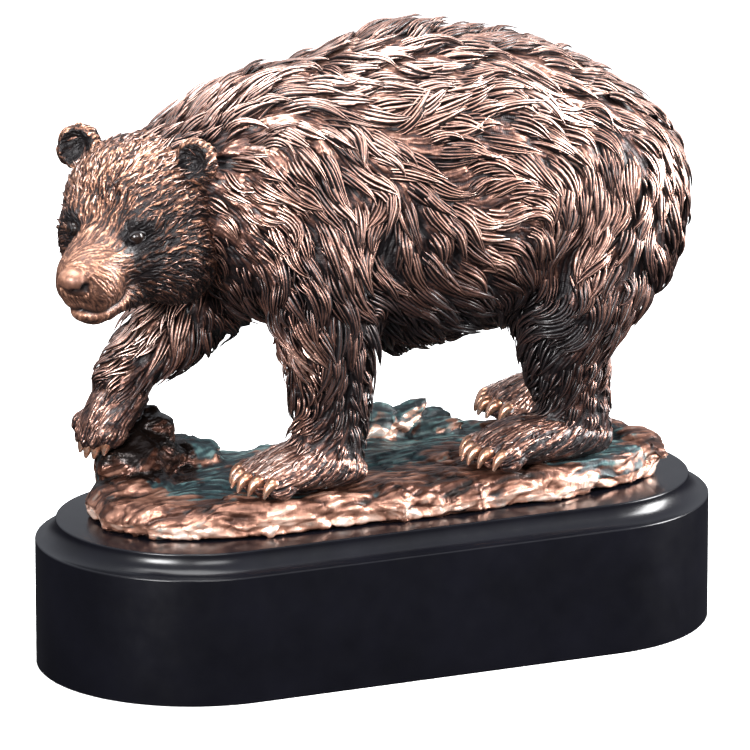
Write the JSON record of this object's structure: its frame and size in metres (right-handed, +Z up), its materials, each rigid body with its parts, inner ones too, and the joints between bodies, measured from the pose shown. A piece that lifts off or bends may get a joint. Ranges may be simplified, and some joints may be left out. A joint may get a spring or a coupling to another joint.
{
  "type": "resin bear sculpture",
  "caption": "Walking bear with head turned, cast with its rocky ground in bronze-finish resin, standing on a black oblong plinth with rounded ends.",
  "frame": {"origin": "middle of the plinth's underside, on the surface it stands on", "axes": "+X along the plinth from the bear's head to its rump, +Z up, -Y is the bear's left side, towards which it turns its head"},
  "size_m": [0.2204, 0.096, 0.1921],
  "materials": {
    "bronzed_resin": "metallic copper and dark brown patina, rubbed bright on the raised hair, blue-green round the feet",
    "black_lacquer": "satin gloss black lacquer"
  },
  "bodies": {
    "root": {"bear_on_rock": "bronzed_resin", "plinth": "black_lacquer"}
  },
  "joints": []
}
